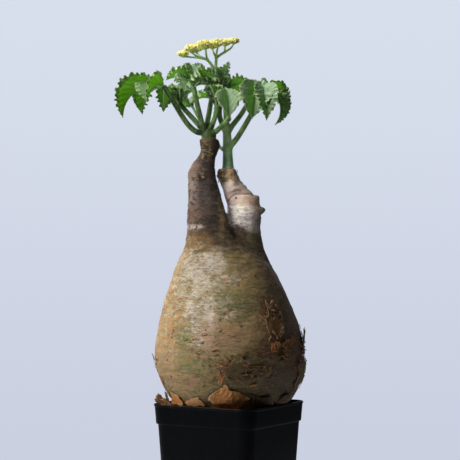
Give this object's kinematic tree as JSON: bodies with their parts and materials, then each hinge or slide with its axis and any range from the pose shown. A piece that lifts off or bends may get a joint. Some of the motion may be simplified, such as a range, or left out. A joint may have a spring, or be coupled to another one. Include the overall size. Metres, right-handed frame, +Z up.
{
  "type": "potted bottle-trunk succulent",
  "caption": "Caudiciform succulent in a black square nursery pot: bottle-shaped trunk with two necks, frilled drooping leaves, a flat yellow flower head and peeling papery bark",
  "frame": {"origin": "centre of the pot's foot, on the surface it stands on", "axes": "+Z up, X and Y along the pot's sides; the plant's front faces 31 degrees from -Y towards +X"},
  "size_m": [0.1303, 0.1318, 0.3711],
  "materials": {
    "black_plastic": "moulded black polypropylene, faintly scuffed",
    "soil": "dark gritty potting mix",
    "bark": "waxy olive and tan skin, greyer at the necks",
    "stem": "smooth fresh green stem",
    "flower_stem": "smooth pale green stem",
    "leaf": "thick waxy blue-green leaf, yellow-green where light passes through",
    "bud": "satin yellow buds",
    "dry_bark": "dry papery orange-brown bark"
  },
  "bodies": {
    "root": {"pot": "black_plastic", "soil": "soil", "trunk": "bark", "left_shoot": "stem", "right_shoot": "stem", "flower_stalk": "flower_stem", "left_leaf_1": "leaf", "left_leaf_2": "leaf", "left_leaf_3": "leaf", "left_leaf_4": "leaf", "left_leaf_5": "leaf", "left_leaf_6": "leaf", "right_leaf_1": "leaf", "right_leaf_2": "leaf", "right_leaf_3": "leaf", "right_leaf_4": "leaf", "right_leaf_5": "leaf", "buds_1": "bud", "buds_2": "bud", "buds_3": "bud", "buds_4": "bud", "buds_5": "bud", "buds_6": "bud", "buds_7": "bud", "buds_8": "bud", "peeling_bark_1": "dry_bark", "peeling_bark_2": "dry_bark", "peeling_bark_3": "dry_bark", "peeling_bark_4": "dry_bark", "peeling_bark_5": "dry_bark", "peeling_bark_6": "dry_bark", "fallen_bark_1": "dry_bark", "fallen_bark_2": "dry_bark", "fallen_bark_3": "dry_bark", "fallen_bark_4": "dry_bark", "fallen_bark_5": "dry_bark", "fallen_bark_6": "dry_bark"}
  },
  "joints": []
}
